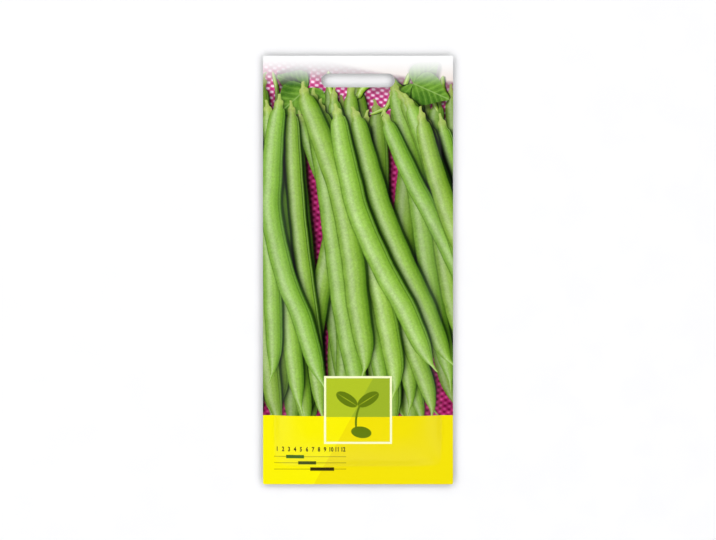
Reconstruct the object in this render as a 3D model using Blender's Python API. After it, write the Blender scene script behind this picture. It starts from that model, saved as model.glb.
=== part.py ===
"""A filled seed packet, lying on its back, in metres with +Z up.

Two printed laminate sheets are sealed together along all four margins. The wide upper
margin is the header, with a long round-ended slot for a shop's display peg. Between the
sheets lies one layer of bean seeds, which lifts the front sheet into a low pillow and
presses the back sheet flat onto the table.

X runs across the packet, Y up its printed front, and the front faces +Z. The origin is
the middle of the packet's outline, on the table.
"""

import math
import random

import bmesh
import bpy
import numpy as np

MM = 0.001

# The sheets' outline
WIDTH = 82.5 * MM
HEIGHT = 186.0 * MM
CORNER_RADIUS = 1.5 * MM
SHEET_THICKNESS = 0.2 * MM
TOUCH_GAP = 0.3 * MM  # left between pieces that touch

# The slot for a display peg
SLOT_LENGTH = 32.0 * MM
SLOT_WIDTH = 6.0 * MM
SLOT_BELOW_TOP = 10.7 * MM  # from the top edge to the slot's middle

# The sealed margins
SIDE_SEAL = 5.0 * MM
BOTTOM_SEAL = 8.0 * MM
HEADER = 22.0 * MM

# How the sheets stand over the table
SEAL_LIFT = 1.5 * MM  # underside of the sealed margins
HEADER_DROOP = 0.25 * MM  # how far the header's top edge hangs below that
BOTTOM_DROOP = 0.1 * MM
BACK_CURVE_X = 12.0 * MM  # the back sheet comes down to the table over this distance
BACK_CURVE_Y = 16.0 * MM
FRONT_RISE = 5.2 * MM  # height of the pillow over the sealed margins
FRONT_CROWN = 0.5 * MM  # and how much its middle stands above its rim
FRONT_CURVE_X = 16.0 * MM  # the front sheet climbs to its full height over this distance
FRONT_CURVE_BOTTOM = 18.0 * MM
FRONT_CURVE_TOP = 40.0 * MM  # longer, because the seeds have slid away from the header
FRONT_CURVE_POWER = 2.2

# The seeds
SEED_LENGTH = 12.0 * MM
SEED_WIDTH = 6.8 * MM
SEED_THICKNESS = 5.6 * MM
SEED_BEND = 1.3 * MM  # how far the kidney's ends stand forward of its waist
SEED_WAIST = 0.10  # share of the width that is hollowed at the seed's scar
SEED_RINGS = 8
SEED_SIDES = 10
SEED_COLUMNS = 5
SEED_ROWS = 10  # in every other column, and one fewer in those between
COLUMN_STEP = 10.8 * MM
ROW_STEP = 13.2 * MM
SEED_SLIDE = 4.5 * MM  # how far the layer has slid from the pouch's middle to its bottom
SEED_TURN = 35.0  # degrees, the most that a seed is turned from the packet's length
SEED_SHIFT = 0.3 * MM
SEED_DRAW = 7  # start of the random draw

# Derived places
POUCH_HALF_WIDTH = WIDTH / 2 - SIDE_SEAL
POUCH_TOP = HEIGHT / 2 - HEADER
POUCH_BOTTOM = -HEIGHT / 2 + BOTTOM_SEAL
POUCH_MIDDLE = (POUCH_TOP + POUCH_BOTTOM) / 2
POUCH_HALF_LENGTH = (POUCH_TOP - POUCH_BOTTOM) / 2
SLOT_Y = HEIGHT / 2 - SLOT_BELOW_TOP
TRIM = 1.0 * MM  # each sheet is made this much oversize, then cut to the outline
CUTTER_BOTTOM = -5.0 * MM
CUTTER_HEIGHT = 20.0 * MM
ARC_STEPS = 8  # sides in a half circle


def clear_scene():
    for obj in list(bpy.data.objects):
        bpy.data.objects.remove(obj)


def plain_material(name, colour, roughness):
    material = bpy.data.materials.new(name)
    material.use_nodes = True
    shader = material.node_tree.nodes["Principled BSDF"]
    shader.inputs["Base Color"].default_value = (*colour, 1.0)
    shader.inputs["Roughness"].default_value = roughness
    shader.inputs["Metallic"].default_value = 0.0
    return material


def add_object(name, mesh, material=None):
    obj = bpy.data.objects.new(name, mesh)
    bpy.context.scene.collection.objects.link(obj)
    if material and not mesh.materials:
        mesh.materials.append(material)
    return obj


def smooth_step(t):
    t = np.clip(t, 0, 1)
    return t * t * (3 - 2 * t)


def seal_underside(y):
    """Height of the sealed margins: level beside the pouch, drooping towards both ends."""
    header = smooth_step((y - POUCH_TOP) / HEADER)
    bottom = smooth_step((POUCH_BOTTOM - y) / BOTTOM_SEAL)
    return SEAL_LIFT - HEADER_DROOP * header - BOTTOM_DROOP * bottom


def inside_pouch(x, y, curve_x, curve_bottom, curve_top):
    """0 on the sealed margins, and 1 this far inside them, across and along the packet."""
    across = np.clip((POUCH_HALF_WIDTH - np.abs(x)) / curve_x, 0, 1)
    from_bottom = (y - POUCH_BOTTOM) / curve_bottom
    from_top = (POUCH_TOP - y) / curve_top
    return across, np.clip(np.minimum(from_bottom, from_top), 0, 1)


def back_underside(x, y):
    """The back sheet's outside: flat on the table, and curving up to the margins."""
    across, along = inside_pouch(x, y, BACK_CURVE_X, BACK_CURVE_Y, BACK_CURVE_Y)
    return seal_underside(y) * (1 - across * along) ** 2


def front_outside(x, y):
    """The front sheet's outside: the margin's top face, with the pillow standing on it."""
    across, along = inside_pouch(x, y, FRONT_CURVE_X, FRONT_CURVE_BOTTOM, FRONT_CURVE_TOP)
    rise = (1 - (1 - across) ** FRONT_CURVE_POWER) * (1 - (1 - along) ** FRONT_CURVE_POWER)
    crown = np.clip(1 - (x / POUCH_HALF_WIDTH) ** 2, 0, 1)
    crown *= np.clip(1 - ((y - POUCH_MIDDLE) / POUCH_HALF_LENGTH) ** 2, 0, 1)
    margin = seal_underside(y) + TOUCH_GAP + 2 * SHEET_THICKNESS
    return margin + FRONT_RISE * rise + FRONT_CROWN * crown


def lines_between(stops, cells):
    """Grid lines that share each span between two stops into that many cells."""
    spans = [np.linspace(a, b, n, endpoint=False) for a, b, n in zip(stops, stops[1:], cells)]
    return np.append(np.concatenate(spans), stops[-1])


def sheet_lines():
    """Grid lines across and along a sheet, closest where it curves."""
    edge_x = WIDTH / 2 + TRIM
    level_x = POUCH_HALF_WIDTH - FRONT_CURVE_X
    across = lines_between(
        [-edge_x, -POUCH_HALF_WIDTH, -level_x, level_x, POUCH_HALF_WIDTH, edge_x],
        [1, 7, 5, 7, 1],
    )
    along = lines_between(
        [
            -HEIGHT / 2 - TRIM,
            POUCH_BOTTOM,
            POUCH_BOTTOM + FRONT_CURVE_BOTTOM,
            POUCH_TOP - FRONT_CURVE_TOP,
            POUCH_TOP,
            HEIGHT / 2 + TRIM,
        ],
        [2, 7, 8, 10, 5],
    )
    return across, along


def prism(name, outline):
    """A cutter: the outline in plan, standing through the height of both sheets."""
    bm = bmesh.new()
    base = bm.faces.new([bm.verts.new((x, y, CUTTER_BOTTOM)) for x, y in outline])
    raised = bmesh.ops.extrude_face_region(bm, geom=[base])
    top = [v for v in raised["geom"] if isinstance(v, bmesh.types.BMVert)]
    bmesh.ops.translate(bm, verts=top, vec=(0, 0, CUTTER_HEIGHT))
    bmesh.ops.recalc_face_normals(bm, faces=bm.faces)
    mesh = bpy.data.meshes.new(name)
    bm.to_mesh(mesh)
    bm.free()
    cutter = add_object(name, mesh)
    cutter.hide_render = True
    cutter.display_type = "WIRE"
    return cutter


def arc(centre_x, centre_y, radius, start, end, steps):
    for i in range(steps + 1):
        angle = math.radians(start + (end - start) * i / steps)
        yield centre_x + radius * math.cos(angle), centre_y + radius * math.sin(angle)


def packet_outline():
    """A rectangle with small round corners, anticlockwise."""
    x = WIDTH / 2 - CORNER_RADIUS
    y = HEIGHT / 2 - CORNER_RADIUS
    corners = [(x, y, 0), (-x, y, 90), (-x, -y, 180), (x, -y, 270)]
    return [
        point
        for cx, cy, start in corners
        for point in arc(cx, cy, CORNER_RADIUS, start, start + 90, ARC_STEPS // 2)
    ]


def slot_outline():
    """A straight slot with half-round ends, anticlockwise."""
    radius = SLOT_WIDTH / 2
    x = SLOT_LENGTH / 2 - radius
    right = arc(x, SLOT_Y, radius, -90, 90, ARC_STEPS)
    left = arc(-x, SLOT_Y, radius, 90, 270, ARC_STEPS)
    return [*right, *left]


def make_sheet(name, height_at, faces_up, material, outline, slot):
    """One laminate sheet: its outer face from a height formula, thickened inwards, then
    cut to the packet's outline and punched with the slot."""
    across, along = sheet_lines()
    x, y = np.meshgrid(across, along)
    points = np.stack([x, y, height_at(x, y)], axis=-1).reshape(-1, 3)
    index = np.arange(x.size).reshape(x.shape)
    quads = np.stack([index[:-1, :-1], index[:-1, 1:], index[1:, 1:], index[1:, :-1]], axis=-1)
    quads = quads.reshape(-1, 4)
    if not faces_up:
        quads = quads[:, ::-1]
    mesh = bpy.data.meshes.new(name)
    mesh.from_pydata(points.tolist(), [], quads.tolist())
    sheet = add_object(name, mesh, material)

    thicken = sheet.modifiers.new("thickness", "SOLIDIFY")
    thicken.thickness = SHEET_THICKNESS
    thicken.offset = -1.0
    thicken.use_even_offset = True
    trim = sheet.modifiers.new("trim to outline", "BOOLEAN")
    trim.operation = "INTERSECT"
    trim.object = outline
    punch = sheet.modifiers.new("punch slot", "BOOLEAN")
    punch.operation = "DIFFERENCE"
    punch.object = slot
    return sheet


def seed_mesh(material):
    """A kidney bean: rings from end to end along X, on a centre line that bends towards
    +Y, with a shallow waist on the hollow side, where the scar is."""
    mesh = bpy.data.meshes.new("bean_seed")
    bm = bmesh.new()
    rings = []
    for i in range(SEED_RINGS):
        along = -math.cos(math.pi * (i + 1) / (SEED_RINGS + 1))
        girth = math.sqrt(1 - along**2) ** 0.85
        centre = SEED_BEND * (along**2 - 0.5)
        ring = []
        for k in range(SEED_SIDES):
            angle = 2 * math.pi * k / SEED_SIDES
            waist = 1 - SEED_WAIST * (1 - along**2) * max(0.0, math.cos(angle))
            y = centre + SEED_WIDTH / 2 * girth * math.cos(angle) * waist
            z = SEED_THICKNESS / 2 * girth * math.sin(angle)
            ring.append(bm.verts.new((SEED_LENGTH / 2 * along, y, z)))
        rings.append(ring)
    for one, other in zip(rings, rings[1:]):
        for k in range(SEED_SIDES):
            n = (k + 1) % SEED_SIDES
            bm.faces.new((one[k], one[n], other[n], other[k]))
    for ring, end in ((rings[0], -1), (rings[-1], 1)):
        tip = bm.verts.new((end * SEED_LENGTH / 2, SEED_BEND * 0.5, 0))
        for k in range(SEED_SIDES):
            bm.faces.new((ring[k], ring[(k + 1) % SEED_SIDES], tip))
    bmesh.ops.recalc_face_normals(bm, faces=bm.faces)
    bm.to_mesh(mesh)
    bm.free()
    mesh.shade_smooth()
    mesh.materials.append(material)
    return mesh


def seed_places():
    """Where each seed lies: columns set like bricks, each seed a little out of line and
    turned by its own angle."""
    draw = random.Random(SEED_DRAW)
    for column in range(SEED_COLUMNS):
        rows = SEED_ROWS - column % 2
        x = (column - (SEED_COLUMNS - 1) / 2) * COLUMN_STEP
        for row in range(rows):
            y = POUCH_MIDDLE - SEED_SLIDE + (row - (rows - 1) / 2) * ROW_STEP
            turn = 90 + draw.uniform(-SEED_TURN, SEED_TURN) + 180 * draw.randrange(2)
            shift_x = draw.uniform(-SEED_SHIFT, SEED_SHIFT)
            shift_y = draw.uniform(-SEED_SHIFT, SEED_SHIFT)
            yield x + shift_x, y + shift_y, math.radians(turn)


def make_seeds(material):
    mesh = seed_mesh(material)
    rest = SHEET_THICKNESS + TOUCH_GAP + SEED_THICKNESS / 2
    for number, (x, y, turn) in enumerate(seed_places(), start=1):
        seed = add_object(f"bean_seed_{number:02d}", mesh)
        seed.location = (x, y, rest)
        seed.rotation_euler = (0, 0, turn)


def main():
    clear_scene()
    front = plain_material("printed front laminate", (0.26, 0.42, 0.09), 0.42)
    back = plain_material("printed back laminate", (0.86, 0.84, 0.74), 0.45)
    seed = plain_material("white bean seed", (0.80, 0.74, 0.60), 0.35)
    outline = prism("cutter_outline", packet_outline())
    slot = prism("cutter_slot", slot_outline())
    make_sheet("back_sheet", back_underside, False, back, outline, slot)
    make_sheet("front_sheet", front_outside, True, front, outline, slot)
    make_seeds(seed)


main()
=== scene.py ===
# %% [markdown]
# # A filled seed packet
#
# Two printed sheets of laminate are sealed together along all four margins. A layer of bean
# seeds lifts the front into a low pillow. The packet lies on its back, and the camera looks
# straight down on its printed front.
#
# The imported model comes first. It is the fixed frame that every finer piece is fitted to, so
# the places below are read from it and not guessed again.

import math

import bmesh
import bpy
import numpy as np
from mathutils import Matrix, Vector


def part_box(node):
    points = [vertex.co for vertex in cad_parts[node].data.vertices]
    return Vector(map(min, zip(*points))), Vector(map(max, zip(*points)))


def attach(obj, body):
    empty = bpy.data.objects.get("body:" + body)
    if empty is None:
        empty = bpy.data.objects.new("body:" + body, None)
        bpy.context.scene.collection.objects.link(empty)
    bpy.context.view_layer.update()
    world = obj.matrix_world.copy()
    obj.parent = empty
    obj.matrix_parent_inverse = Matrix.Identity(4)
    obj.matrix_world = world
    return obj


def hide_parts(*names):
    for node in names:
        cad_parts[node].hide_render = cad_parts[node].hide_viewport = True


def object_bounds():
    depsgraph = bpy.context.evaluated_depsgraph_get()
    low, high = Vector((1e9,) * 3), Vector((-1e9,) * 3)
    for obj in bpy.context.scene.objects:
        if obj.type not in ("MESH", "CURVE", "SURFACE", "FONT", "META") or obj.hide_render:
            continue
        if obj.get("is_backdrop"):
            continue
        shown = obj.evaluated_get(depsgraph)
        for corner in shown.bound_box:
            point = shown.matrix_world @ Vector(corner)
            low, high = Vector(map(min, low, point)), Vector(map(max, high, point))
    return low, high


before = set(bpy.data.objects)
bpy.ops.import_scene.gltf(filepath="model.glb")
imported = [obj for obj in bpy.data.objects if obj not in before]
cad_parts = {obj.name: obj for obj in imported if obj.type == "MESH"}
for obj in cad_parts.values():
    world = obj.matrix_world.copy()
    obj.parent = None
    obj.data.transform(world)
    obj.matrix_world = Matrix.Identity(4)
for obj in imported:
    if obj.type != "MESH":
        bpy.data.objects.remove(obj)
cad_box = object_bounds()
print("nodes in the packed model:", len(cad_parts))

# %% [markdown]
# ## Sizes
#
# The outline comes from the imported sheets. How the sheets rise from their sealed margins is
# a formula, with the same values as in the solids. Only the corners are sharper here.

# %% Sizes of the packet
MM = 0.001
sheet_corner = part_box("front_sheet")[1]
HALF_WIDTH = sheet_corner.x
HALF_HEIGHT = sheet_corner.y
CORNER_RADIUS = 0.6 * MM
SHEET_THICKNESS = 0.2 * MM
TOUCH_GAP = 0.3 * MM  # what the solids keep between the two sheets
FILM = 0.03 * MM  # what is left of it here: the layer that seals one sheet to the other

SLOT_LENGTH = 32.0 * MM
SLOT_WIDTH = 6.0 * MM
SLOT_BELOW_TOP = 10.7 * MM
SLOT_Y = HALF_HEIGHT - SLOT_BELOW_TOP
SLOT_REACH = (SLOT_LENGTH - SLOT_WIDTH) / 2  # half the length of the slot's middle line

SIDE_SEAL = 5.0 * MM
BOTTOM_SEAL = 8.0 * MM
HEADER = 22.0 * MM
POUCH_HALF_WIDTH = HALF_WIDTH - SIDE_SEAL
POUCH_TOP = HALF_HEIGHT - HEADER
POUCH_BOTTOM = BOTTOM_SEAL - HALF_HEIGHT
POUCH_MIDDLE = (POUCH_TOP + POUCH_BOTTOM) / 2
POUCH_HALF_LENGTH = (POUCH_TOP - POUCH_BOTTOM) / 2

SEAL_LIFT = 1.5 * MM
HEADER_DROOP = 0.25 * MM
BOTTOM_DROOP = 0.1 * MM
BACK_CURVE_X = 12.0 * MM
BACK_CURVE_Y = 16.0 * MM
FRONT_RISE = 5.2 * MM
FRONT_CROWN = 0.5 * MM
FRONT_CURVE_X = 16.0 * MM
FRONT_CURVE_BOTTOM = 18.0 * MM
FRONT_CURVE_TOP = 40.0 * MM
FRONT_CURVE_POWER = 2.2
print(f"packet {2000 * HALF_WIDTH:.1f} by {2000 * HALF_HEIGHT:.1f} mm")

# %% [markdown]
# ## Camera
#
# The photograph looks square onto the packet, with no slant in its edges. A long lens far
# above the table does the same. Its distance follows from the width of table that the
# picture takes in. The packet is 82.5 mm wide and fills 190 of its 716 pixels, so that is
# 310.9 mm.

# %% Camera straight above the packet
VIEW_WIDTH = 310.9 * MM
LENS = 100.0 * MM
SENSOR = 36.0 * MM

camera_data = bpy.data.cameras.new("camera")
camera_data.lens = LENS / MM
camera_data.sensor_width = SENSOR / MM
camera = bpy.data.objects.new("camera", camera_data)
camera.location = (0, 0, SEAL_LIFT + VIEW_WIDTH * LENS / SENSOR)
bpy.context.scene.collection.objects.link(camera)
bpy.context.scene.camera = camera
print(f"camera {camera.location.z:.3f} m above the table")

# %% [markdown]
# ## Shader maths as Python
#
# A printed picture is a long formula, and a formula is easiest to read as one. This small
# class wraps a socket, so that `1 - mask * 0.5` adds the Math nodes that work it out.
# Colours go through Mix nodes and ramps, because a Math node would turn them grey.

# %% The class that writes node trees


class Wire:
    """A socket of a node tree. Python's operators on wires and numbers add Math nodes."""

    def __init__(self, tree, socket=None):
        self.tree = tree
        self.socket = socket

    def node(self, kind, settings=None, values=None, output=0):
        """Adds a node of that type and gives back the wire from one of its outputs. Settings
        are made first, because some decide which sockets there are."""
        made = self.tree.nodes.new(kind)
        for name, value in (settings or {}).items():
            if name == "stops":
                set_stops(made.color_ramp, value)
            elif name == "points":
                set_curve(made.mapping, value)
            else:
                setattr(made, name, value)
        feed(made, values or {})
        return Wire(self.tree, made.outputs[output] if made.outputs else None)

    def out(self, name):
        """Another output of the node that this wire comes from."""
        return Wire(self.tree, self.socket.node.outputs[name])

    def math(self, operation, *operands):
        """A Math node on wires and numbers."""
        settings = {"operation": operation}
        return self.node("ShaderNodeMath", settings, dict(enumerate(operands)))

    def __add__(self, other):
        return self.math("ADD", self, other)

    def __sub__(self, other):
        return self.math("SUBTRACT", self, other)

    def __rsub__(self, other):
        return self.math("SUBTRACT", other, self)

    def __mul__(self, other):
        return self.math("MULTIPLY", self, other)

    def __truediv__(self, other):
        return self.math("DIVIDE", self, other)

    def __abs__(self):
        return self.math("ABSOLUTE", self)

    __radd__ = __add__
    __rmul__ = __mul__

    def sine(self):
        return self.math("SINE", self)

    def clip(self):
        """The value, held between 0 and 1."""
        return self.node("ShaderNodeClamp", values={"Value": self})

    def rise(self, low, high):
        """0 where the value is at low, 1 where it is at high, with a smooth step between."""
        settings = {"interpolation_type": "SMOOTHSTEP", "clamp": False}
        values = {"Value": self, "From Min": low, "From Max": high}
        return self.node("ShaderNodeMapRange", settings, values)

    def mix(self, other, share, blend="MIX"):
        """This colour with a share of the other laid over it."""
        settings = {"data_type": "RGBA", "blend_type": blend}
        return self.node("ShaderNodeMix", settings, {0: share, 6: self, 7: other}, output=2)

    def lit(self, amount, hue=0.5):
        """This colour made that many times as bright. A hue of 0.5 leaves its hue alone."""
        values = {"Hue": hue, "Value": amount, "Color": self}
        return self.node("ShaderNodeHueSaturation", values=values)

    def ramp(self, stops):
        """A colour for each value from 0 to 1, blended between the stops."""
        return self.node("ShaderNodeValToRGB", {"stops": stops}, {0: self})

    def noise(self, scale, detail=2.0, roughness=0.5):
        """Soft random patches, about 0.3 to 0.7, so many to the millimetre."""
        values = {"Vector": self, "Scale": scale / MM, "Detail": detail, "Roughness": roughness}
        return self.node("ShaderNodeTexNoise", values=values)

    def curve(self, points):
        """The height of a smooth curve through those points, at this value."""
        return self.node("ShaderNodeFloatCurve", {"points": points}, {"Value": self})

    def bump(self, strength, depth):
        """The normal of a surface with this value as its height, 1 being that depth."""
        values = {"Strength": strength, "Distance": depth, "Height": self}
        return self.node("ShaderNodeBump", values=values)


def feed(node, values):
    """Sets each value on its input of the node, or links it there where it is a wire."""
    for name, value in values.items():
        if isinstance(value, Wire):
            value.tree.links.new(value.socket, node.inputs[name])
        else:
            node.inputs[name].default_value = value


def set_stops(ramp, stops):
    """Gives a colour ramp its stops, each a place from 0 to 1 and a colour."""
    ramp.interpolation = "EASE"
    while len(ramp.elements) < len(stops):
        ramp.elements.new(1.0)
    for element, (place, colour) in zip(ramp.elements, stops):
        element.position = place
        element.color = colour


def set_curve(mapping, points):
    """Gives a curve node its points. The curve is level beyond both ends."""
    mapping.use_clip = False
    mapping.extend = "HORIZONTAL"
    curve = mapping.curves[0]
    curve.points[0].location = points[0]
    curve.points[-1].location = points[-1]
    for place, value in points[1:-1]:
        curve.points.new(place, value)
    mapping.update()


def ink(red, green, blue):
    """A printed colour, given as it looks on a screen (0 to 255), as the linear colour that
    Blender calculates with."""
    share = np.array([red, green, blue]) / 255
    linear = np.where(share <= 0.04045, share / 12.92, ((share + 0.055) / 1.055) ** 2.4)
    return (*(float(c) for c in linear), 1.0)


def new_finish(name):
    """A material with one Principled shader, and the first wire into its node tree."""
    material = bpy.data.materials.new(name)
    material.use_nodes = True
    tree = material.node_tree
    return material, tree.nodes["Principled BSDF"], Wire(tree)


def object_place(start):
    """The point being shaded. A piece's object stands at the origin, so a print on these
    coordinates stays where it was laid."""
    return start.node("ShaderNodeTexCoord", output="Object")


def plan(here):
    """The point's x and y in millimetres, as two wires."""
    parts = here.node("ShaderNodeSeparateXYZ", values={0: here})
    return parts * (1 / MM), parts.out("Y") * (1 / MM)


def motif_axes(foot, degrees, half_width, length):
    """Six numbers that turn x and y into a motif's own coordinates. Formula: the way from
    its foot, measured across it in half widths and along it in lengths, each as
    a x + b y + c."""
    cos, sin = math.cos(math.radians(degrees)), math.sin(math.radians(degrees))
    x, y = foot
    across = (cos / half_width, sin / half_width, -(x * cos + y * sin) / half_width)
    along = (-sin / length, cos / length, (x * sin - y * cos) / length)
    return across, along


def motif_plan(x, y, foot, degrees, half_width, length):
    """The two wires of a motif's own coordinates."""
    axes = motif_axes(foot, degrees, half_width, length)
    across, along = (x * a + y * b + c for a, b, c in axes)
    return across, along


print("shader class ready")

# %% [markdown]
# ## Table and light
#
# The packet is seen on white with a narrow soft shadow on every side. A ring of light does
# that: it comes from all round at about 35° above the table, so each edge throws its shadow
# outwards, and there is little light straight above, where it would mirror in the laminate.
# The world is that ring. A large lamp at the upper left adds a little shape.

# %% The table, the ring of light and one soft lamp
TABLE_SIZE = 6.0
TABLE_DARK = ink(247, 247, 248)
TABLE_LIGHT = ink(249, 249, 250)
RING_STOPS = [  # brightness by the sine of the angle above the table
    (0.0, (0.04, 0.04, 0.04, 1)),
    (0.26, (0.10, 0.10, 0.10, 1)),
    (0.42, (1.0, 1.0, 1.0, 1)),
    (0.68, (1.0, 1.0, 1.0, 1)),
    (0.82, (0.05, 0.05, 0.055, 1)),
    (1.0, (0.02, 0.02, 0.022, 1)),
]
RING_STRENGTH = 2.20
LAMP_PLACE = (-0.55, 0.55, 0.62)
LAMP_SIZE = 0.5
LAMP_POWER = 0.5


def make_table():
    """One large square at height 0, matt and nearly white."""
    half = TABLE_SIZE / 2
    corners = [(-half, -half, 0), (half, -half, 0), (half, half, 0), (-half, half, 0)]
    mesh = bpy.data.meshes.new("table")
    mesh.from_pydata(corners, [], [(0, 1, 2, 3)])
    table = bpy.data.objects.new("table", mesh)
    bpy.context.scene.collection.objects.link(table)
    material, shader, start = new_finish("matt_white_table")
    grain = object_place(start).noise(0.05)
    tint = grain.ramp([(0.3, TABLE_DARK), (0.7, TABLE_LIGHT)])
    feed(shader, {"Base Color": tint, "Roughness": 1.0, "Specular IOR Level": 0.0})
    table.data.materials.append(material)
    table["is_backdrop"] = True


def make_ring():
    """A world whose brightness depends on nothing but the angle above the table."""
    world = bpy.data.worlds.new("ring_of_light")
    world.use_nodes = True
    tree = world.node_tree
    tree.nodes.clear()
    way = Wire(tree).node("ShaderNodeTexCoord", output="Generated")
    height = way.node("ShaderNodeSeparateXYZ", values={0: way}).out("Z")
    glow = height.ramp(RING_STOPS)
    shade = glow.node("ShaderNodeBackground", values={0: glow, 1: RING_STRENGTH})
    shade.node("ShaderNodeOutputWorld", values={0: shade})
    bpy.context.scene.world = world


def make_lamp():
    """A square lamp that faces the packet's middle."""
    light = bpy.data.lights.new("soft_lamp", "AREA")
    light.shape = "SQUARE"
    light.size = LAMP_SIZE
    light.energy = LAMP_POWER
    lamp = bpy.data.objects.new("soft_lamp", light)
    lamp.location = LAMP_PLACE
    lamp.rotation_euler = lamp.location.to_track_quat("Z", "Y").to_euler()
    bpy.context.scene.collection.objects.link(lamp)


make_table()
make_ring()
make_lamp()
bpy.context.scene.view_settings.view_transform = "Standard"
print("table, ring and lamp made")

# %% [markdown]
# ## The shape of the two sheets
#
# A flat pouch that is filled turns into a pillow, but its margins stay flat, so the film has
# to give somewhere: it puckers along the seals, and it dips a little between the seeds. Each
# of these is one formula of x and y, worked out for the whole grid at once.

# %% Heights of the margins, the back and the front
WAVES_MM = (31.0, 19.0, 12.0)  # wavelengths of the margins' unevenness
WAVE_HEIGHT = 0.11 * MM
PUCKER_WAVES_MM = (13.0, 8.5, 6.1)
PUCKER_HEIGHT = 0.16 * MM
PUCKER_REACH = 9.0 * MM  # how far a pucker runs into the pouch
SEED_DIP = 0.32 * MM  # how far the film dips between the seeds
WAVE_FROM = 0.6  # the margins' waves begin at this share of the half width
WAVE_DRAW = 11  # start of the random draw

wave_draw = np.random.default_rng(WAVE_DRAW)


def smooth_step(t):
    """3t² - 2t³ with t held between 0 and 1: level at both ends."""
    t = np.clip(t, 0, 1)
    return t * t * (3 - 2 * t)


def unevenness(wavelengths):
    """A function of one distance: the mean of a sine of each wavelength, with drawn phases."""
    phases = wave_draw.uniform(0, 2 * np.pi, len(wavelengths))
    turns = 2 * np.pi / (np.array(wavelengths) * MM)

    def along(s):
        return np.sin(s[..., None] * turns + phases).mean(axis=-1)

    return along


side_wave = unevenness(WAVES_MM)
end_wave = unevenness(WAVES_MM)
side_pucker = unevenness(PUCKER_WAVES_MM)
end_pucker = unevenness(PUCKER_WAVES_MM)


def seal_underside(x, y):
    """Underside of the sealed margins: level beside the pouch, drooping towards both ends,
    and uneven by a wave along the sides and one along the ends."""
    header = smooth_step((y - POUCH_TOP) / HEADER)
    bottom = smooth_step((POUCH_BOTTOM - y) / BOTTOM_SEAL)
    level = SEAL_LIFT - HEADER_DROOP * header - BOTTOM_DROOP * bottom
    at_side = smooth_step((np.abs(x) / HALF_WIDTH - WAVE_FROM) / (1 - WAVE_FROM))
    at_end = np.maximum(header, bottom)
    return level + WAVE_HEIGHT * (at_side * side_wave(y) + at_end * end_wave(x))


def pouch_shares(x, y, curve_x, curve_bottom, curve_top):
    """0 on the sealed margins, and 1 that far inside them, across and along the packet."""
    across = np.clip((POUCH_HALF_WIDTH - np.abs(x)) / curve_x, 0, 1)
    from_bottom = (y - POUCH_BOTTOM) / curve_bottom
    from_top = (POUCH_TOP - y) / curve_top
    return across, np.clip(np.minimum(from_bottom, from_top), 0, 1)


def back_outside(x, y):
    """The back's outer face: flat on the table, and up to the margins as the square of the
    distance that is left."""
    across, along = pouch_shares(x, y, BACK_CURVE_X, BACK_CURVE_Y, BACK_CURVE_Y)
    return seal_underside(x, y) * (1 - across * along) ** 2


def seed_lumps(x, y):
    """1 over a seed and 0 away from all of them: the greatest of one bell curve a seed, as
    wide and as long as the seed's own box."""
    boxes = [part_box(name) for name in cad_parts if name.startswith("bean_seed")]
    low = np.array([[*b[0]][:2] for b in boxes])
    high = np.array([[*b[1]][:2] for b in boxes])
    middle, reach = (low + high) / 2, (high - low) / 2
    far_x = (x[..., None] - middle[:, 0]) / reach[:, 0]
    far_y = (y[..., None] - middle[:, 1]) / reach[:, 1]
    return np.exp(-(far_x**2) - far_y**2).max(axis=-1)


def puckers(x, y):
    """Small ridges square to the nearest seal: a wave along the seal, strongest a third of
    the way in and gone at the pucker's reach."""
    from_side = (POUCH_HALF_WIDTH - np.abs(x)) / PUCKER_REACH
    from_end = np.minimum(POUCH_TOP - y, y - POUCH_BOTTOM) / PUCKER_REACH

    def fade(t):
        return smooth_step(t * 3) * (1 - smooth_step(t))

    inside = smooth_step(np.minimum(from_side, from_end) * 4)
    ridges = fade(from_side) * side_pucker(y + np.abs(x) * 0.2) + fade(from_end) * end_pucker(x)
    return PUCKER_HEIGHT * inside * ridges


def front_outside(x, y):
    """The front's outer face: the margin's top, the pillow standing on it, a slight crown
    over the whole, and the lumps and puckers of the filled pouch."""
    across, along = pouch_shares(x, y, FRONT_CURVE_X, FRONT_CURVE_BOTTOM, FRONT_CURVE_TOP)
    filled = (1 - (1 - across) ** FRONT_CURVE_POWER) * (1 - (1 - along) ** FRONT_CURVE_POWER)
    crown = np.clip(1 - (x / POUCH_HALF_WIDTH) ** 2, 0, 1)
    crown = crown * np.clip(1 - ((y - POUCH_MIDDLE) / POUCH_HALF_LENGTH) ** 2, 0, 1)
    closed = (TOUCH_GAP - FILM) * (1 - smooth_step(filled * 3))
    margin = seal_underside(x, y) + TOUCH_GAP - closed + 2 * SHEET_THICKNESS
    dips = SEED_DIP * filled * (1 - seed_lumps(x, y))
    return margin + FRONT_RISE * filled + FRONT_CROWN * crown - dips + puckers(x, y)


print("pillow height", round(float(front_outside(np.zeros(1), np.zeros(1))[0]) / MM, 2), "mm")

# %% [markdown]
# ## Cutting the outline and the slot
#
# A Boolean would cut the sheet too, but it leaves long thin triangles round the slot, which
# show in a glossy surface. Here the grid itself is fitted: squares inside the slot are left
# out, and the points on the ragged edge that this leaves are moved onto the slot's true rim.
# The same is done with the corners. Solidify then gives the sheet its thickness.

# %% A sheet from a grid
ACROSS_STEP = 0.62 * MM
ALONG_STEP = 0.72 * MM
SHARP_ANGLE = math.radians(50)
TINY = 1e-9  # the least distance, so that nothing is divided by 0


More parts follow.
